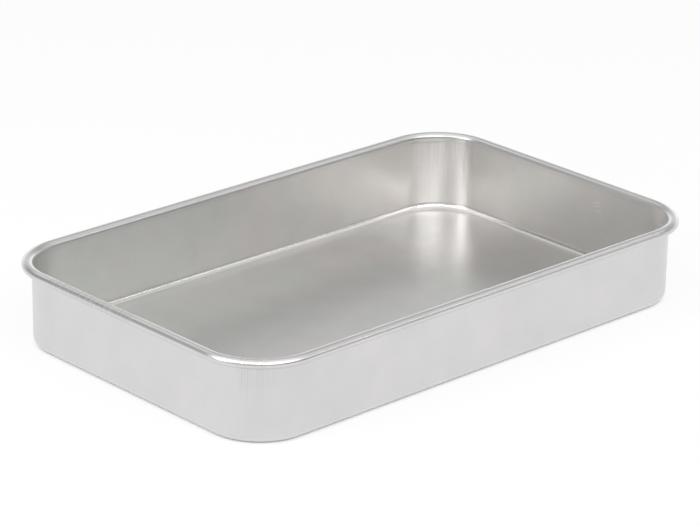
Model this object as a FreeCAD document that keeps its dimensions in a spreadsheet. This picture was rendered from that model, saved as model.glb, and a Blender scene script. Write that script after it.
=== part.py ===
import FreeCAD, Part
import math
import os

import Sketcher
from FreeCAD import Vector

# Baking tray drawn from one aluminium sheet, in millimetres.
# The origin is at the centre of the floor's underside, +Z up, +X along the length.
# The walls stand upright. At the top the sheet rolls outwards, over and back under to the wall,
# which leaves a hollow oval bead along the rim.
# The tray is the same about its two upright middle planes, so one corner with its quarter of the floor,
# one end wall and one side wall are drawn, and the others are their mirror images.

SIZES = [
    ("body_length", "387", "between the outer faces of the end walls"),
    ("body_width", "238.5", "between the outer faces of the side walls"),
    ("tray_height", "57", "from the underside of the floor to the top of the rim"),
    ("sheet_thickness", "1.0", "thickness of the sheet"),
    ("corner_radius", "38", "outer face of an upright corner, seen from above"),
    ("foot_radius", "5.5", "outer face of the bend between floor and wall"),
    ("rim_height", "6.2", "from the top of the bead to its underside"),
    ("rim_flattening", "1.3", "how much wider than high the oval bead is"),
    ("curl_gap", "0.4", "between the rolled-in edge and the wall"),
]

# Points of a sketch edge, as constraints number them.
START, END, CENTRE = 1, 2, 3
LEVEL_AXIS = -1
ORIGIN_POINT = (LEVEL_AXIS, START)


def make_size_sheet(doc):
    sheet = doc.addObject("Spreadsheet::Sheet", "sizes")
    for row, (name, value, meaning) in enumerate(SIZES, start=1):
        sheet.set(f"A{row}", name)
        sheet.set(f"B{row}", value)
        sheet.set(f"C{row}", meaning)
        sheet.setAlias(f"B{row}", name)
    doc.recompute()


def origin_plane(body, role):
    return next(feature for feature in body.Origin.OriginFeatures if feature.Role == role)


def new_sketch(body, name, plane_role):
    sketch = body.newObject("Sketcher::SketchObject", name)
    sketch.AttachmentSupport = (origin_plane(body, plane_role), [""])
    sketch.MapMode = "FlatFace"
    return sketch


def value_of(sketch, expression):
    return float(sketch.evalExpression(expression))


def bind_size(sketch, name, expression, kind, *places):
    """Add a dimension that follows the expression."""
    value = value_of(sketch, expression)
    index = sketch.addConstraint(Sketcher.Constraint(kind, *places, value))
    sketch.renameConstraint(index, name)
    sketch.setExpression(f"Constraints.{name}", expression)


def line(start, end):
    return Part.LineSegment(Vector(*start), Vector(*end))


def arc(centre, radius, first_angle, last_angle):
    circle = Part.Circle(Vector(*centre), Vector(0, 0, 1), radius)
    return Part.ArcOfCircle(circle, math.radians(first_angle), math.radians(last_angle))


def oval_arc(centre, half_width, half_height, edge_x):
    """The oval from its lower point at edge_x, round under and over to its innermost point."""
    middle_x, middle_z = centre
    oval = Part.Ellipse(Vector(*centre), half_width, half_height)
    edge_angle = math.acos((edge_x - middle_x) / half_width)
    return Part.ArcOfEllipse(oval, -edge_angle, math.pi)


def add_oval_axes(sketch, oval, centre, half_width, half_height):
    """Give an oval arc its two diameters as construction lines, the wide one level."""
    x, z = centre
    wide, high = sketch.addGeometry([
        line((x - half_width, z), (x + half_width, z)),
        line((x, z - half_height), (x, z + half_height)),
    ], True)
    sketch.addConstraint(Sketcher.Constraint("InternalAlignment:EllipseMajorDiameter", wide, oval))
    sketch.addConstraint(Sketcher.Constraint("InternalAlignment:EllipseMinorDiameter", high, oval))
    sketch.addConstraint(Sketcher.Constraint("Horizontal", wide))
    return wide, high


def draw_wall_section(sketch, reach):
    """Draw the sheet's section from the floor's edge to the rolled-in edge of the rim.

    reach is the expression for the distance from the sketch's upright axis to the outer face of the wall.
    """
    wall = value_of(sketch, reach)
    thick = value_of(sketch, "sizes.sheet_thickness")
    foot = value_of(sketch, "sizes.foot_radius")
    half_width = value_of(sketch, "(sizes.rim_height + sizes.rim_flattening) / 2")
    half_height = value_of(sketch, "sizes.rim_height / 2")
    edge_x = wall + value_of(sketch, "sizes.curl_gap")
    bead_x = wall - thick + half_width
    bead_z = value_of(sketch, "sizes.tray_height") - half_height
    bead = (bead_x, bead_z)
    outside = oval_arc(bead, half_width, half_height, edge_x)
    inside = oval_arc(bead, half_width - thick, half_height - thick, edge_x)

    edges = {
        "foot_outside": arc((wall - foot, foot), foot, 270, 360),
        "wall_outside": line((wall, foot), (wall, bead_z)),
        "bead_inside": inside,
        "sheet_edge": line((edge_x, inside.StartPoint.y), (edge_x, outside.StartPoint.y)),
        "bead_outside": outside,
        "wall_inside": line((wall - thick, bead_z), (wall - thick, foot)),
        "foot_inside": arc((wall - foot, foot), foot - thick, 270, 360),
        "floor_edge": line((wall - foot, thick), (wall - foot, 0)),
    }
    number = dict(zip(edges, sketch.addGeometry(list(edges.values()), False)))
    wide, high = add_oval_axes(sketch, number["bead_outside"], bead, half_width, half_height)
    _, high_inside = add_oval_axes(sketch, number["bead_inside"], bead,
                                   half_width - thick, half_height - thick)

    def add(kind, *places):
        sketch.addConstraint(Sketcher.Constraint(kind, *places))

    def join(kind, first, first_point, second, second_point):
        add(kind, number[first], first_point, number[second], second_point)

    join("Tangent", "foot_outside", END, "wall_outside", START)
    join("Tangent", "wall_outside", END, "bead_inside", END)
    join("Tangent", "bead_outside", END, "wall_inside", START)
    join("Tangent", "wall_inside", END, "foot_inside", END)
    join("Coincident", "bead_inside", START, "sheet_edge", START)
    join("Coincident", "sheet_edge", END, "bead_outside", START)
    join("Coincident", "foot_inside", START, "floor_edge", START)
    join("Coincident", "floor_edge", END, "foot_outside", START)
    join("Coincident", "foot_outside", CENTRE, "foot_inside", CENTRE)
    join("Coincident", "bead_outside", CENTRE, "bead_inside", CENTRE)
    join("Vertical", "foot_outside", CENTRE, "foot_outside", START)
    for name in ("wall_outside", "sheet_edge", "wall_inside", "floor_edge"):
        add("Vertical", number[name])
    add("PointOnObject", number["foot_outside"], START, LEVEL_AXIS)

    bind_size(sketch, "reach", reach, "DistanceX", *ORIGIN_POINT, number["wall_outside"], START)
    bind_size(sketch, "foot", "sizes.foot_radius", "Radius", number["foot_outside"])
    bind_size(sketch, "thickness", "sizes.sheet_thickness",
              "DistanceY", number["floor_edge"], END, number["floor_edge"], START)
    bind_size(sketch, "bead_middle", "sizes.tray_height - sizes.rim_height / 2",
              "DistanceY", *ORIGIN_POINT, number["bead_outside"], CENTRE)
    bind_size(sketch, "bead_width", "sizes.rim_height + sizes.rim_flattening",
              "DistanceX", wide, START, wide, END)
    bind_size(sketch, "bead_height", "sizes.rim_height", "DistanceY", high, START, high, END)
    bind_size(sketch, "hollow_height", "sizes.rim_height - 2 * sizes.sheet_thickness",
              "DistanceY", high_inside, START, high_inside, END)
    bind_size(sketch, "gap", "sizes.curl_gap",
              "DistanceX", number["wall_outside"], END, number["sheet_edge"], END)


def add_floor(body):
    """Pad one quarter of the flat floor, which ends where the foot's bend starts."""
    sketch = new_sketch(body, "floor_outline", "XY_Plane")
    length = "sizes.body_length / 2 - sizes.foot_radius"
    width = "sizes.body_width / 2 - sizes.foot_radius"
    radius = "sizes.corner_radius - sizes.foot_radius"
    end, side, turn = (value_of(sketch, expression) for expression in (length, width, radius))

    middle_line, end_line, corner, side_line, cross_line = sketch.addGeometry([
        line((0, 0), (end, 0)),
        line((end, 0), (end, side - turn)),
        arc((end - turn, side - turn), turn, 0, 90),
        line((end - turn, side), (0, side)),
        line((0, side), (0, 0)),
    ], False)

    for edge, point, other, other_point in (
        (middle_line, END, end_line, START),
        (side_line, END, cross_line, START),
        (cross_line, END, middle_line, START),
        (middle_line, START, *ORIGIN_POINT),
    ):
        sketch.addConstraint(Sketcher.Constraint("Coincident", edge, point, other, other_point))
    sketch.addConstraint(Sketcher.Constraint("Tangent", end_line, END, corner, START))
    sketch.addConstraint(Sketcher.Constraint("Tangent", corner, END, side_line, START))
    for edge in (middle_line, side_line):
        sketch.addConstraint(Sketcher.Constraint("Horizontal", edge))
    for edge in (end_line, cross_line):
        sketch.addConstraint(Sketcher.Constraint("Vertical", edge))
    bind_size(sketch, "length", length, "DistanceX", middle_line, START, middle_line, END)
    bind_size(sketch, "width", width, "DistanceY", cross_line, END, cross_line, START)
    bind_size(sketch, "corner", radius, "Radius", corner)

    floor = body.newObject("PartDesign::Pad", "floor")
    floor.Profile = sketch
    floor.setExpression("Length", "sizes.sheet_thickness")


def add_corner(body):
    """Turn the wall section a quarter turn about the corner's upright axis."""
    sketch = new_sketch(body, "corner_section", "XZ_Plane")
    sketch.setExpression("AttachmentOffset.Base.x", "sizes.body_length / 2 - sizes.corner_radius")
    sketch.setExpression("AttachmentOffset.Base.z", "sizes.corner_radius - sizes.body_width / 2")
    draw_wall_section(sketch, "sizes.corner_radius")
    corner = body.newObject("PartDesign::Revolution", "corner")
    corner.Profile = sketch
    corner.ReferenceAxis = (sketch, ["V_Axis"])
    corner.Angle = 90


def add_straight_wall(body, name, plane_role, reach, length):
    """Pad the wall section both ways from a middle plane, from corner to corner."""
    sketch = new_sketch(body, f"{name}_section", plane_role)
    draw_wall_section(sketch, reach)
    wall = body.newObject("PartDesign::Pad", name)
    wall.Profile = sketch
    wall.SideType = "Symmetric"
    wall.setExpression("Length", length)
    return wall


def add_mirror(body, name, plane_role, feature=None):
    """Mirror one feature, or everything made so far."""
    mirror = body.newObject("PartDesign::Mirrored", name)
    if feature:
        mirror.Originals = [feature]
    else:
        mirror.TransformMode = "Whole shape"
    mirror.MirrorPlane = (origin_plane(body, plane_role), [""])
    mirror.Refine = True
    body.Tip = mirror
    body.Document.recompute()


def make_tray(doc):
    body = doc.addObject("PartDesign::Body", "tray")
    body.Label = "tray"
    add_floor(body)
    add_corner(body)
    doc.recompute()
    add_mirror(body, "corners_of_one_side", "YZ_Plane")
    add_mirror(body, "four_corners", "XZ_Plane")
    end_wall = add_straight_wall(body, "end_wall", "XZ_Plane", reach="sizes.body_length / 2",
                                 length="sizes.body_width - 2 * sizes.corner_radius")
    doc.recompute()
    add_mirror(body, "other_end_wall", "YZ_Plane", end_wall)
    side_wall = add_straight_wall(body, "side_wall", "YZ_Plane", reach="sizes.body_width / 2",
                                  length="sizes.body_length - 2 * sizes.corner_radius")
    doc.recompute()
    add_mirror(body, "other_side_wall", "XZ_Plane", side_wall)
    return body


def check_document(doc):
    for item in doc.Objects:
        if "Invalid" in item.State or "Error" in item.State:
            raise RuntimeError(f"{item.Label} failed: {item.State}")
        if item.isDerivedFrom("Sketcher::SketchObject") and not item.FullyConstrained:
            raise RuntimeError(f"{item.Label} isn't fully constrained")


def check_tray(body):
    shape = body.Shape
    if shape.isNull() or not shape.isValid():
        raise RuntimeError(f"{body.Label} has no valid shape")
    if len(shape.Solids) != 1:
        raise RuntimeError(f"{body.Label} has {len(shape.Solids)} solids")


def main():
    doc = FreeCAD.newDocument("baking_tray")
    make_size_sheet(doc)
    tray = make_tray(doc)
    check_document(doc)
    check_tray(tray)
    os.makedirs("parts", exist_ok=True)
    tray.Shape.exportStep(f"parts/{tray.Label}.step")


main()
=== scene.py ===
import math

import bmesh
import bpy
from mathutils import Euler, Matrix, Vector


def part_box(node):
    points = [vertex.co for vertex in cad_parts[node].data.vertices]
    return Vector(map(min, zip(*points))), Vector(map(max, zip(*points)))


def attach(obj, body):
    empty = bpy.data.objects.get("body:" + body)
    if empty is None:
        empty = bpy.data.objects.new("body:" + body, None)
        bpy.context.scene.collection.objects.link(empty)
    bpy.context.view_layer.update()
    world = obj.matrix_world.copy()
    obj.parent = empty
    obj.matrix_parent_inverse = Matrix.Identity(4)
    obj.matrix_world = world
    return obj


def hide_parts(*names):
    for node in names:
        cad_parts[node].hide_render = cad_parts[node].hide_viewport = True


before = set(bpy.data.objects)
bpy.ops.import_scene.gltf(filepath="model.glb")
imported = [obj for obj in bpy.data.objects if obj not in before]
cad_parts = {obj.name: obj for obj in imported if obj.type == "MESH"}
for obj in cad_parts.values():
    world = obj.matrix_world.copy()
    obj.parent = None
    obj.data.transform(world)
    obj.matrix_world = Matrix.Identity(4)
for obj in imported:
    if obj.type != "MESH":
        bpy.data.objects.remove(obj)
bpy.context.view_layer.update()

QUARTER_TURN = math.pi / 2

# Camera, fitted to the photograph's frame of 700 by 525 pixels.
# Its stand is given along its own axes: to its right, upwards and backwards from the tray's origin.
CAMERA_TURN = -43.18
CAMERA_RISE = 21.537
CAMERA_ROLL = 0.894
CAMERA_STAND = Vector((-0.00385, 0.03523, 2.09689))
CAMERA_LENS = 164.19
SENSOR_WIDTH = 36.0

# The drawn sheet, in metres. The tray's size is read from the frame.
SHEET = 0.001
BEAD_WIDTH = 0.0075
BEAD_HEIGHT = 0.0062
CORNER_RADIUS = 0.038
FOOT_RADIUS = 0.0055
TRAY_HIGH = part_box("tray")[1]
UNDER_BEAD = TRAY_HIGH.z - BEAD_HEIGHT
# The upright axis of the corner where x and y are positive. The other corners mirror it.
CORNER_REACH = BEAD_WIDTH - SHEET + CORNER_RADIUS
CORNER_AXIS = Vector((TRAY_HIGH.x - CORNER_REACH, TRAY_HIGH.y - CORNER_REACH, 0))

# How finely the sheet is divided. The bead's points are counted round it, and those of its gap left out.
BEAD_POINTS = 56
BEAD_OPEN_FROM = 28
BEAD_OPEN_TO = 36
FOOT_STEPS = 12
WALL_STEPS = 8
CORNER_STEPS = 24
COLUMN = 0.005
EDGE_STRIP = 0.0005
TOUCHING = 0.00001
SMOOTH_ANGLE = math.radians(40)


def deselect_all():
    """Nothing stays selected, the loaded nodes included."""
    if bpy.context.object and bpy.context.object.mode != "OBJECT":
        bpy.ops.object.mode_set(mode="OBJECT")
    bpy.ops.object.select_all(action="DESELECT")


def select_points(piece, test):
    """In edit mode, selects the points whose place passes the test, with the edges between them."""
    shape = bmesh.from_edit_mesh(piece.data)
    for point in shape.verts:
        point.select = test(point.co)
    shape.select_flush_mode()
    bmesh.update_edit_mesh(piece.data)


def weld():
    """Selects all of the shape and joins the points that lie together."""
    bpy.ops.mesh.select_all(action="SELECT")
    bpy.ops.mesh.remove_doubles(threshold=TOUCHING)


def extrude(step):
    """Draws the selection out by one step."""
    bpy.ops.mesh.extrude_region_move(TRANSFORM_OT_translate={"value": step})


def extrude_in_steps(travel, steps):
    """Draws the selection out by the whole travel, in equal steps."""
    for _ in range(steps):
        extrude(travel / steps)


def near(value, place):
    """Whether a coordinate lies at that place."""
    return abs(value - place) < TOUCHING


def draw_section():
    """The inner face of the sheet in section, beyond the corner's upright axis: bead, wall, foot, floor."""
    wall = TRAY_HIGH.x - BEAD_WIDTH
    bead_middle = Vector((TRAY_HIGH.x - BEAD_WIDTH / 2, CORNER_AXIS.y, TRAY_HIGH.z - BEAD_HEIGHT / 2))
    foot = FOOT_RADIUS - SHEET
    bpy.ops.mesh.primitive_circle_add(
        vertices=BEAD_POINTS, radius=1, location=bead_middle, rotation=(QUARTER_TURN, 0, 0)
    )
    sheet = bpy.context.object
    sheet.scale = (BEAD_WIDTH / 2, BEAD_HEIGHT / 2, 1)
    bpy.ops.object.transform_apply()
    bpy.ops.object.mode_set(mode="EDIT")
    bpy.ops.mesh.select_mode(type="VERT")
    point_turn = 2 * math.pi / BEAD_POINTS

    def in_the_gap(place):
        turn = math.atan2((place.z - bead_middle.z) / BEAD_HEIGHT, (place.x - bead_middle.x) / BEAD_WIDTH)
        return BEAD_OPEN_FROM < round((turn % (2 * math.pi)) / point_turn) < BEAD_OPEN_TO

    select_points(sheet, in_the_gap)
    bpy.ops.mesh.delete(type="VERT")
    select_points(sheet, lambda place: near(place.x, wall))
    wall_drop = bead_middle.z - SHEET - foot
    extrude(Vector((0, 0, -EDGE_STRIP)))
    extrude_in_steps(Vector((0, 0, 2 * EDGE_STRIP - wall_drop)), WALL_STEPS)
    extrude(Vector((0, 0, -EDGE_STRIP)))
    foot_middle = (wall - foot, CORNER_AXIS.y, SHEET + foot)
    bpy.ops.mesh.spin(steps=FOOT_STEPS, angle=QUARTER_TURN, center=foot_middle, axis=(0, -1, 0))
    extrude(Vector((-EDGE_STRIP, 0, 0)))
    extrude(Vector((CORNER_AXIS.x + foot + EDGE_STRIP - wall, 0, 0)))
    return sheet


def make_tray_sheet():
    """The whole sheet: a corner spun from the section, the straight sides drawn out, and both mirrored."""
    deselect_all()
    sheet = draw_section()
    bpy.ops.mesh.select_all(action="SELECT")
    bpy.ops.mesh.spin(steps=CORNER_STEPS, angle=QUARTER_TURN, center=CORNER_AXIS, axis=(0, 0, -1))
    weld()
    select_points(sheet, lambda place: near(place.y, CORNER_AXIS.y))
    extrude_in_steps(Vector((0, -CORNER_AXIS.y, 0)), round(CORNER_AXIS.y / COLUMN))
    select_points(sheet, lambda place: near(place.x, CORNER_AXIS.x))
    extrude_in_steps(Vector((-CORNER_AXIS.x, 0, 0)), round(CORNER_AXIS.x / COLUMN))
    bpy.ops.object.mode_set(mode="OBJECT")
    mirror = sheet.modifiers.new("other quarters", "MIRROR")
    mirror.use_axis = (True, True, False)
    mirror.merge_threshold = TOUCHING
    bpy.ops.object.modifier_apply(modifier=mirror.name)
    bpy.ops.object.mode_set(mode="EDIT")
    weld()
    bpy.ops.mesh.normals_make_consistent(inside=False)
    bpy.ops.object.mode_set(mode="OBJECT")
    floor_faces = [face for face in sheet.data.polygons if near(face.center.z, SHEET)]
    if floor_faces[0].normal.z < 0:
        bpy.ops.object.mode_set(mode="EDIT")
        bpy.ops.mesh.flip_normals()
        bpy.ops.object.mode_set(mode="OBJECT")
    gauge = sheet.modifiers.new("sheet thickness", "SOLIDIFY")
    gauge.thickness = SHEET
    gauge.offset = -1
    gauge.use_even_offset = True
    gauge.use_quality_normals = True
    bpy.ops.object.modifier_apply(modifier=gauge.name)
    bpy.ops.object.shade_smooth_by_angle(angle=SMOOTH_ANGLE)
    sheet.name = "tray_sheet"
    return sheet


# A Mix node has its colour sockets at these places, after its number and vector sockets.
COLOUR_A = 6
COLOUR_B = 7
COLOUR_RESULT = 2


class Link:
    """One socket of a shader, with Python's arithmetic on it."""

    def __init__(self, shader, socket):
        self.shader = shader
        self.socket = socket

    def __add__(self, other):
        return self.shader.math("ADD", self, other)

    def __radd__(self, other):
        return self.shader.math("ADD", other, self)

    def __sub__(self, other):
        return self.shader.math("SUBTRACT", self, other)

    def __rsub__(self, other):
        return self.shader.math("SUBTRACT", other, self)

    def __mul__(self, other):
        return self.shader.math("MULTIPLY", self, other)

    def __rmul__(self, other):
        return self.shader.math("MULTIPLY", other, self)

    def __abs__(self):
        return self.shader.math("ABSOLUTE", self, 0)


class Shader:
    """The nodes of a material or of the world, made by expressions."""

    def __init__(self, owner):
        self.owner = owner
        owner.use_nodes = True
        self.tree = owner.node_tree
        self.tree.nodes.clear()

    def node(self, kind, settings, inputs, output=0):
        """A node of that type: its settings are set first, and then its sockets' values or links."""
        made = self.tree.nodes.new(kind)
        for name, value in settings.items():
            setattr(made, name, value)
        for name, value in inputs.items():
            socket = made.inputs[name]
            if isinstance(value, Link):
                self.tree.links.new(value.socket, socket)
            else:
                socket.default_value = value
        return Link(self, made.outputs[output])

    def show(self, kind, surface):
        """Ends the shader in its output node, and gives back what it belongs to."""
        end = self.tree.nodes.new(kind)
        self.tree.links.new(surface.socket, end.inputs["Surface"])
        return self.owner

    def math(self, operation, first, second):
        """One step of arithmetic on two values or links."""
        return self.node("ShaderNodeMath", {"operation": operation}, {0: first, 1: second})

    def smooth(self, value, start, end):
        """Rises softly from 0 at start to 1 at end."""
        limits = {"Value": value, "From Min": start, "From Max": end}
        return self.node("ShaderNodeMapRange", {"interpolation_type": "SMOOTHSTEP"}, limits)

    def band(self, value, start, end, soft):
        """1 between start and end, with soft edges outside them."""
        return self.smooth(value, start - soft, start) * (1 - self.smooth(value, end, end + soft))

    def part(self, vector, axis):
        """One coordinate of a place or direction."""
        return self.node("ShaderNodeSeparateXYZ", {}, {"Vector": vector}, axis)

    def noise(self, place, grains, detail=1):
        """Soft noise about 0.5, with that many grains a metre along each axis."""
        stretched = self.node("ShaderNodeVectorMath", {"operation": "MULTIPLY"}, {0: place, 1: grains})
        return self.node("ShaderNodeTexNoise", {}, {"Vector": stretched, "Scale": 1, "Detail": detail})

    def mix(self, share, first, second):
        """One colour fading into another."""
        sockets = {0: share, COLOUR_A: first, COLOUR_B: second}
        return self.node("ShaderNodeMix", {"data_type": "RGBA"}, sockets, COLOUR_RESULT)


def towards(bearing, across, along):
    """How far a place or direction goes towards that bearing."""
    return math.cos(bearing) * across + math.sin(bearing) * along


# The sheet's colours. The first two are on the outer faces and the bead, and the next two inside.
ALUMINIUM = (0.698, 0.696, 0.698, 1)
ALUMINIUM_PINKISH = (0.710, 0.694, 0.701, 1)
# The two inner colours are a painted reflection tint: the warm and greenish cast of the double reflections
# inside the tray, put into the sheet's colour.
ALUMINIUM_ROSY_REFLECTION_TINT = (0.748, 0.730, 0.720, 1)
ALUMINIUM_GREENISH_REFLECTION_TINT = (0.722, 0.732, 0.712, 1)
ALUMINIUM_DULL = (0.58, 0.58, 0.575, 1)
ALUMINIUM_SCRATCHED = (0.93, 0.93, 0.92, 1)
ALUMINIUM_SPECK = (0.30, 0.29, 0.28, 1)

SATIN_ROUGHNESS = 0.315
BEAD_ROUGHNESS = 0.30
FOOT_ROUGHNESS = 0.22
MOTTLE_ROUGHENS = 0.05

# Where the bead, the foot and the sheet's upper side begin and end, by height
BEAD_FADES_IN = (UNDER_BEAD - 0.0002, UNDER_BEAD + 0.0006)
FOOT_FROM = SHEET + 0.0004
FOOT_TO = 0.004
FOOT_SOFT = 0.0004
UPPER_SIDE_FADES_IN = (0.0003, 0.0007)
# The inner faces end within the sheet, between these distances from a corner's axis.
INNER_FULL_TO = CORNER_RADIUS - 0.7 * SHEET
INNER_NONE_FROM = CORNER_RADIUS - 0.3 * SHEET

# A soft mottle all over, in grains a metre. It dulls where its noise passes a level.
MOTTLE_GRAINS = (45, 45, 45)
MOTTLE_DETAIL = 2
MOTTLE_DULLS = 0.55
MOTTLE_LEVEL = 0.32
# The slow change of the painted reflection tint inside, which also moves with the place along the tray
TINT_GRAINS = (17, 17, 17)
TINT_ALONG = 0.8
TINT_CHANGES = (0.38, 0.62)
# The faint patches on the outer faces
PATCH_GRAINS = (26, 26, 26)
PATCHES_FADE_IN = (0.45, 0.70)

# Upright draw lines. They are strongest in the corners, below the rim and on the inner faces.
LINE_GRAINS = (950, 950, 22)
LINE_LEVEL = 0.35
LINE_RELIEF = 3.0
CORNER_ALONG = (0.145, 0.172)
CORNER_ACROSS = (0.070, 0.098)
LINES_RISE = (0.015, 0.046)
LINES_LOW_SHARE = 0.25
LINES_SIDE_SHARE = 0.20
LINES_OUTSIDE_SHARE = 0.2

# Upright score marks on the near corner, by their distance along it, centred on this bearing
SCORED_BEARING = math.radians(222)
SCORE_MARKS = (-0.0066, -0.0050, -0.0033, 0.0026, 0.0043, 0.0059)
SCORE_WIDTH = 0.0005
SCORES_RISE = (0.020, 0.046)
SCORES_DULL = 0.5
SCORE_RELIEF = 2.0
# Short ticks below the rim, beside and between the marks
TICKS_FROM = -0.008
TICKS_TO = 0.014
TICKS_SOFT = 0.003
TICKS_RISE = (0.030, 0.050)
TICKS_SHARE = 1.3
# Both are on the outer face, which lies beyond these distances from the corner's axis.
SCORED_FACE = (0.030, 0.034)

# Fine ripples that the curling left across the bead of the left end
RIPPLE_GRAINS = (0, 620, 0)
RIPPLED_END = -0.194
RIPPLED_END_SOFT = 0.002
RIPPLED_FROM = -0.005
RIPPLED_TO = 0.062
RIPPLED_SOFT = 0.012
RIPPLES_DULL = 3.5
RIPPLE_LEVEL = 0.42
RIPPLE_RELIEF = 7.0

# What a relief of 1 stands out by
RELIEF_HEIGHT = 0.00005

# Light scratches, each from one point to another, their width and how far they cover the sheet
WALL_SCRATCHES = (
    ((-0.0290, 0.0405), (-0.0375, 0.0435)),
    ((-0.0300, 0.0385), (-0.0385, 0.0405)),
    ((-0.0335, 0.0360), (-0.0395, 0.0378)),
)
FLOOR_SCRATCHES = (
    ((-0.098, 0.052), (-0.084, 0.058)),
    ((-0.070, 0.030), (-0.052, 0.033)),
)
SCRATCH_WIDTH = 0.00045
SCRATCHES_COVER = 0.9
FLOOR_SCRATCH_SHARE = 0.35
# A dark speck, stroked from one point to another as well
FLOOR_SPECK = (0.1395, -0.0153)
SPECK_SIZE = 0.0008
SPECK_END = (FLOOR_SPECK[0] + SPECK_SIZE, FLOOR_SPECK[1])
# The right wall's inner face by its place along the tray, and the floor's upper face by its height
RIGHT_WALL_FACE = (0.1915, 0.1928)
FLOOR_FACE = (0.0008, 0.0012)
FACE_SOFT = 0.0003


def stroke(metal, across, along, start, end, width):
    """1 on a thin stroke between two points of a flat face, fading to 0 at its sides and ends."""
    length = math.dist(start, end)
    bearing = math.atan2(end[1] - start[1], end[0] - start[0])
    across = across - (start[0] + end[0]) / 2
    along = along - (start[1] + end[1]) / 2
    lengthwise = abs(towards(bearing, across, along))
    sideways = abs(towards(bearing + QUARTER_TURN, across, along))
    return (1 - metal.smooth(lengthwise, length / 4, length / 2)) * (1 - metal.smooth(sideways, 0, width))


def strokes(metal, across, along, ends):
    """The scratches of one flat face, before they are kept to that face."""
    return sum(stroke(metal, across, along, start, end, SCRATCH_WIDTH) for start, end in ends)


def within_walls(shader, x, y, full_to, none_from):
    """1 inside the walls and corners, fading to 0 between two distances from a corner's upright axis."""
    beyond_x = shader.math("MAXIMUM", abs(x) - CORNER_AXIS.x, 0)
    beyond_y = shader.math("MAXIMUM", abs(y) - CORNER_AXIS.y, 0)
    distance = beyond_x * beyond_x + beyond_y * beyond_y
    return 1 - shader.smooth(distance, full_to * full_to, none_from * none_from)


def score_marks(metal, x, y, z, draw_lines):
    """Upright lines that the die left on the near corner, strongest below the rim."""
    from_axis = (x + CORNER_AXIS.x, y + CORNER_AXIS.y)
    along = towards(SCORED_BEARING + QUARTER_TURN, *from_axis)
    marks = sum(1 - metal.smooth(abs(along - place), 0, SCORE_WIDTH) for place in SCORE_MARKS)
    ticks = metal.band(along, TICKS_FROM, TICKS_TO, TICKS_SOFT) * metal.smooth(z, *TICKS_RISE)
    marks = marks * metal.smooth(z, *SCORES_RISE) + TICKS_SHARE * ticks * (draw_lines - LINE_LEVEL)
    return marks * metal.smooth(towards(SCORED_BEARING, *from_axis), *SCORED_FACE)


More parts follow.
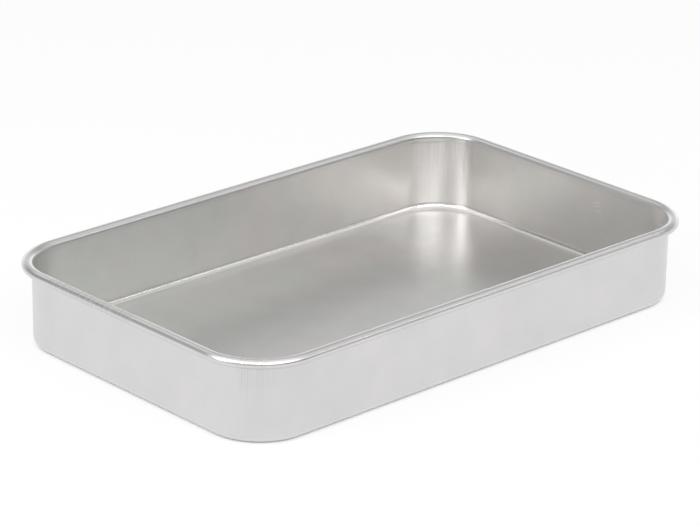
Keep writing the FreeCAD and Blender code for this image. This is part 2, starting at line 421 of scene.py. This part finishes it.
def satin_aluminium():
    """Drawn aluminium sheet: a soft mottle, a painted reflection tint on the inner faces, upright draw and
    score lines, the left bead's ripples, and a few light scratches."""
    metal = Shader(bpy.data.materials.new("satin_aluminium"))
    place = metal.node("ShaderNodeTexCoord", {}, {}, "Object")
    x = metal.part(place, "X")
    y = metal.part(place, "Y")
    z = metal.part(place, "Z")
    mottle = metal.noise(place, MOTTLE_GRAINS, MOTTLE_DETAIL)
    draw_lines = metal.noise(place, LINE_GRAINS)
    ripples = metal.noise(place, RIPPLE_GRAINS)
    # Painted reflection tint inside: rosy towards one end, greenish towards the other, as the double
    # reflections colour it.
    tint = metal.smooth(metal.noise(place, TINT_GRAINS) - TINT_ALONG * x, *TINT_CHANGES)
    patches = metal.smooth(metal.noise(place, PATCH_GRAINS), *PATCHES_FADE_IN)

    on_bead = metal.smooth(z, *BEAD_FADES_IN)
    on_foot = metal.band(z, FOOT_FROM, FOOT_TO, FOOT_SOFT)
    on_right_wall = metal.band(x, *RIGHT_WALL_FACE, FACE_SOFT)
    on_floor = metal.band(z, *FLOOR_FACE, FACE_SOFT)
    inside = within_walls(metal, x, y, INNER_FULL_TO, INNER_NONE_FROM)
    inside = inside * metal.smooth(z, *UPPER_SIDE_FADES_IN) * (1 - on_bead)

    at_corner = metal.smooth(abs(x), *CORNER_ALONG) * metal.smooth(abs(y), *CORNER_ACROSS)
    near_rim = metal.smooth(z, *LINES_RISE)
    drawn = at_corner * (LINES_LOW_SHARE + (1 - LINES_LOW_SHARE) * near_rim) + LINES_SIDE_SHARE * near_rim
    drawn = drawn * (LINES_OUTSIDE_SHARE + (1 - LINES_OUTSIDE_SHARE) * inside)
    scored = score_marks(metal, x, y, z, draw_lines)
    rippled = on_bead * metal.band(y, RIPPLED_FROM, RIPPLED_TO, RIPPLED_SOFT)
    rippled = rippled * (1 - metal.smooth(x, RIPPLED_END - RIPPLED_END_SOFT, RIPPLED_END))
    scratched = on_right_wall * strokes(metal, y, z, WALL_SCRATCHES)
    scratched = scratched + FLOOR_SCRATCH_SHARE * on_floor * strokes(metal, x, y, FLOOR_SCRATCHES)
    speck = on_floor * stroke(metal, x, y, FLOOR_SPECK, SPECK_END, SPECK_SIZE)

    dulled = MOTTLE_DULLS * (mottle - MOTTLE_LEVEL) + drawn * (draw_lines - LINE_LEVEL)
    dulled = dulled + SCORES_DULL * scored + RIPPLES_DULL * rippled * (ripples - RIPPLE_LEVEL)
    outer_colour = metal.mix(patches, ALUMINIUM, ALUMINIUM_PINKISH)
    # The inner faces take the painted reflection tint; the outer faces and the bead stay neutral.
    inner_colour_painted_tint = metal.mix(tint, ALUMINIUM_ROSY_REFLECTION_TINT, ALUMINIUM_GREENISH_REFLECTION_TINT)
    colour = metal.mix(inside, outer_colour, inner_colour_painted_tint)
    colour = metal.mix(dulled, colour, ALUMINIUM_DULL)
    colour = metal.mix(SCRATCHES_COVER * scratched, colour, ALUMINIUM_SCRATCHED)
    colour = metal.mix(speck, colour, ALUMINIUM_SPECK)
    roughness = SATIN_ROUGHNESS + MOTTLE_ROUGHENS * (mottle - 0.5)
    roughness = roughness + (BEAD_ROUGHNESS - SATIN_ROUGHNESS) * on_bead
    roughness = roughness + (FOOT_ROUGHNESS - SATIN_ROUGHNESS) * on_foot
    relief = LINE_RELIEF * drawn * draw_lines - SCORE_RELIEF * scored + RIPPLE_RELIEF * rippled * ripples
    bump = {"Strength": 1.0, "Distance": RELIEF_HEIGHT, "Height": relief}
    looks = {
        "Base Color": colour,
        "Metallic": 1.0,
        "Roughness": roughness,
        "Normal": metal.node("ShaderNodeBump", {}, bump),
    }
    return metal.show("ShaderNodeOutputMaterial", metal.node("ShaderNodeBsdfPrincipled", {}, looks))


FLOOR_SIZE = 40.0
FLOOR_COLOUR = (0.88, 0.88, 0.88, 1)
FLOOR_WHITENESS = 0.85
SHADED_PAST_WALL = 0.001


def pale_floor():
    """Pale paper. What looks at it directly, or by a mirror, sees it part of the way to white.

    Under the tray it stays plain paper in the shadow, and the outside of the foot mirrors that."""
    paper = Shader(bpy.data.materials.new("pale_floor"))
    place = paper.node("ShaderNodeTexCoord", {}, {}, "Object")
    x = paper.part(place, "X")
    y = paper.part(place, "Y")
    beside = 1 - within_walls(paper, x, y, CORNER_RADIUS - FOOT_RADIUS, CORNER_RADIUS + SHADED_PAST_WALL)
    matt = paper.node("ShaderNodeBsdfDiffuse", {}, {"Color": FLOOR_COLOUR})
    white = paper.node("ShaderNodeEmission", {}, {"Strength": 1})
    seen = paper.node("ShaderNodeLightPath", {}, {}, "Is Camera Ray")
    seen = seen + paper.node("ShaderNodeLightPath", {}, {}, "Is Glossy Ray")
    seen = seen + paper.node("ShaderNodeLightPath", {}, {}, "Is Transmission Ray")
    share = paper.math("MINIMUM", seen, 1) * FLOOR_WHITENESS * beside
    surface = paper.node("ShaderNodeMixShader", {}, {0: share, 1: matt, 2: white})
    return paper.show("ShaderNodeOutputMaterial", surface)


def make_floor():
    """A plain pale floor, wide enough for every view."""
    deselect_all()
    bpy.ops.mesh.primitive_plane_add(size=FLOOR_SIZE, location=(0, 0, 0))
    floor = bpy.context.object
    floor.name = "studio_floor"
    floor.data.materials.append(pale_floor())


def make_camera():
    """The camera that took the photograph."""
    turn = Euler((math.radians(90 - CAMERA_RISE), 0, math.radians(CAMERA_TURN))).to_matrix()
    turn = turn @ Matrix.Rotation(math.radians(CAMERA_ROLL), 3, "Z")
    deselect_all()
    bpy.ops.object.camera_add(location=turn @ CAMERA_STAND, rotation=turn.to_euler())
    camera = bpy.context.object
    camera.data.lens = CAMERA_LENS
    camera.data.sensor_width = SENSOR_WIDTH
    bpy.context.scene.camera = camera


# The studio's walls and ceiling, by how much light comes from each height.
# A height is the sine of the angle above the horizon.
SKY_LOW = 0.84
SKY_MIDDLE = 0.16
SKY_TOP = 1.07
SKY_COLOUR = (1.0, 1.0, 0.99, 1)
WALL_HEIGHTS = (0.0, 0.68)
CEILING_HEIGHTS = (0.50, 0.95)
# The bearing of the brightest wall, how much it gains, and how the walls facing away from it dim
BRIGHT_WALL = math.radians(45)
BRIGHT_WALL_GAIN = 0.9
BRIGHT_WALL_EDGE = (0.6, 0.95)
FACING_AWAY_DIMS = (-1.1, 0.1)
# The bearing of the wall that is a little brighter than the one across from it
SIDE_WALL = math.radians(313)
SIDE_WALL_GAIN = 0.16
# The bearing of the open, dark side low down
DARK_SIDE = math.radians(245)
DARK_SIDE_LOSS = 0.95
DARK_SIDE_EDGE = (0.1, 0.6)
DARK_SIDE_TOP = (0.16, 0.28)


def make_studio_walls():
    """Soft light from all round, brighter from one wall and from above, and dark low down on one side."""
    studio = Shader(bpy.data.worlds.new("studio"))
    bpy.context.scene.world = studio.owner
    direction = studio.node("ShaderNodeTexCoord", {}, {}, "Generated")
    across = studio.part(direction, "X")
    along = studio.part(direction, "Y")
    height = studio.part(direction, "Z")
    facing = towards(BRIGHT_WALL, across, along)
    sideways = towards(SIDE_WALL, across, along)
    open_side = towards(DARK_SIDE, across, along)
    glow = SKY_LOW + (SKY_MIDDLE - SKY_LOW) * studio.smooth(height, *WALL_HEIGHTS)
    glow = glow * studio.smooth(facing, *FACING_AWAY_DIMS)
    glow = glow * (1 + BRIGHT_WALL_GAIN * studio.smooth(facing, *BRIGHT_WALL_EDGE))
    glow = glow * (1 + SIDE_WALL_GAIN * sideways)
    glow = glow + (SKY_TOP - SKY_MIDDLE) * studio.smooth(height, *CEILING_HEIGHTS)
    dark = studio.smooth(open_side, *DARK_SIDE_EDGE) * (1 - studio.smooth(height, *DARK_SIDE_TOP))
    glow = glow * (1 - DARK_SIDE_LOSS * dark)
    surface = studio.node("ShaderNodeBackground", {}, {"Color": SKY_COLOUR, "Strength": glow})
    studio.show("ShaderNodeOutputWorld", surface)


LAMP_COLOUR = (1.0, 1.0, 0.99)
LAMP_DISTANCE = 1.8


def soft_box(name, bearing, rise, width, height, brightness):
    """A soft rectangular lamp that faces the tray. Its brightness is the radiance of its face."""
    away = Vector((math.cos(math.radians(bearing)), math.sin(math.radians(bearing)), 0))
    away = away * math.cos(math.radians(rise)) + Vector((0, 0, math.sin(math.radians(rise))))
    deselect_all()
    bpy.ops.object.light_add(type="AREA", location=away * LAMP_DISTANCE)
    lamp = bpy.context.object
    lamp.name = name
    lamp.rotation_euler = away.to_track_quat("Z", "Y").to_euler()
    lamp.data.shape = "RECTANGLE"
    lamp.data.size = width
    lamp.data.size_y = height
    lamp.data.color = LAMP_COLOUR
    lamp.data.energy = math.pi * width * height * brightness


def make_lamps():
    """Soft boxes round the side of the tray that faces the camera, and a strip on each of the far sides."""
    soft_box("left_edge", bearing=151, rise=36, width=0.31, height=0.50, brightness=1.3)
    soft_box("left_box", bearing=167, rise=36, width=0.51, height=0.50, brightness=4.3)
    soft_box("left_fill", bearing=187, rise=36, width=0.49, height=0.50, brightness=2.2)
    soft_box("middle_fill", bearing=206, rise=36, width=0.51, height=0.50, brightness=1.2)
    soft_box("right_fill", bearing=222, rise=36, width=0.31, height=0.50, brightness=2.5)
    soft_box("right_box", bearing=256, rise=36, width=1.55, height=0.50, brightness=3.8)
    soft_box("right_strip", bearing=304, rise=34, width=1.09, height=0.19, brightness=2.2)
    soft_box("low_box", bearing=170, rise=19, width=0.60, height=0.25, brightness=4.8)
    soft_box("low_strip", bearing=220, rise=19, width=2.86, height=0.25, brightness=1.3)
    soft_box("high_left", bearing=180, rise=56, width=1.69, height=0.45, brightness=1.3)
    soft_box("high_right", bearing=260, rise=56, width=1.69, height=0.45, brightness=1.3)
    soft_box("far_strip", bearing=344, rise=42, width=1.15, height=0.25, brightness=0.75)
    soft_box("back_strip", bearing=88, rise=42, width=0.97, height=0.25, brightness=0.9)


def set_picture():
    """Colours are shown as they are written."""
    bpy.context.scene.view_settings.view_transform = "Standard"


make_camera()
set_picture()
make_floor()
make_studio_walls()
make_lamps()
tray = make_tray_sheet()
tray.data.materials.clear()
tray.data.materials.append(satin_aluminium())
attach(tray, "root")
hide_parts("tray")
